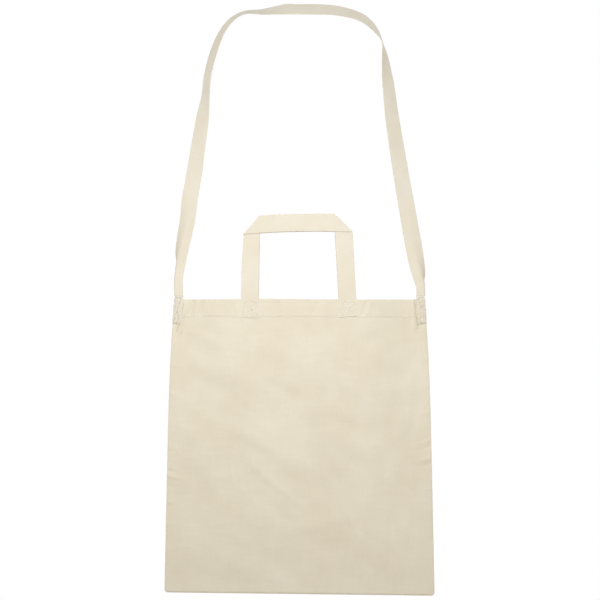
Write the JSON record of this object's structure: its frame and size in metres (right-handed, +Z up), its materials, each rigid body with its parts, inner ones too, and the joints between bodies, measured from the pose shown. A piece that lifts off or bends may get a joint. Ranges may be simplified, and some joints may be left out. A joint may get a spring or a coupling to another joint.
{
  "type": "fruit picking bag",
  "caption": "Plain cotton picking bag with an open mouth, short grab handles and one long shoulder strap sewn over the side seams.",
  "frame": {"origin": "underside of the shoulder strap at the top of its loop, where the bag hangs", "axes": "+Z up along the hanging bag, +X to the right seen from the front, the front panel faces -Y"},
  "size_m": [0.3854, 0.0592, 0.8422],
  "materials": {
    "calico": "plain woven unbleached cotton, matt",
    "strap_cloth": "folded and sewn cotton strap, matt",
    "cotton_thread": "spun cotton sewing thread"
  },
  "bodies": {
    "shoulder_strap": {"shoulder_strap": "strap_cloth"},
    "bag": {"bottom_seam": "calico", "left_side_seam": "calico", "left_strap_end": "strap_cloth", "left_strap_front_stitching": "cotton_thread", "left_strap_back_stitching": "cotton_thread", "right_side_seam": "calico", "right_strap_end": "strap_cloth", "right_strap_front_stitching": "cotton_thread", "right_strap_back_stitching": "cotton_thread"},
    "front": {"front_panel": "calico", "front_hem": "calico", "front_hem_stitching": "cotton_thread", "front_handle_left_end": "strap_cloth", "front_handle_left_stitching": "cotton_thread", "front_handle_right_end": "strap_cloth", "front_handle_right_stitching": "cotton_thread"},
    "back": {"back_panel": "calico", "back_hem": "calico", "back_hem_stitching": "cotton_thread", "back_handle_left_end": "strap_cloth", "back_handle_left_stitching": "cotton_thread", "back_handle_right_end": "strap_cloth", "back_handle_right_stitching": "cotton_thread"},
    "front_handle": {"front_handle": "strap_cloth"},
    "back_handle": {"back_handle": "strap_cloth"}
  },
  "joints": [
    {"name": "bag_swing", "type": "hinge", "parent": "shoulder_strap", "child": "bag", "pos_m": [0, 0, -0.4083], "axis": [1, 0, 0], "range_deg": [-90, 90]},
    {"name": "front_open", "type": "hinge", "parent": "bag", "child": "front", "pos_m": [0, -0.0006, -0.8205], "axis": [1, 0, 0], "range_deg": [0, 6]},
    {"name": "back_open", "type": "hinge", "parent": "bag", "child": "back", "pos_m": [0, 0.0006, -0.8205], "axis": [-1, 0, 0], "range_deg": [0, 6]},
    {"name": "front_handle_fold", "type": "hinge", "parent": "front", "child": "front_handle", "pos_m": [0, -0.02307, -0.41144], "axis": [1, 0, 0], "range_deg": [-12, 170]},
    {"name": "back_handle_fold", "type": "hinge", "parent": "back", "child": "back_handle", "pos_m": [0, 0.02307, -0.41144], "axis": [-1, 0, 0], "range_deg": [-12, 170]}
  ],
  "couplings": [
    {"joint": "back_open", "follows": "front_open", "ratio": 1}
  ]
}
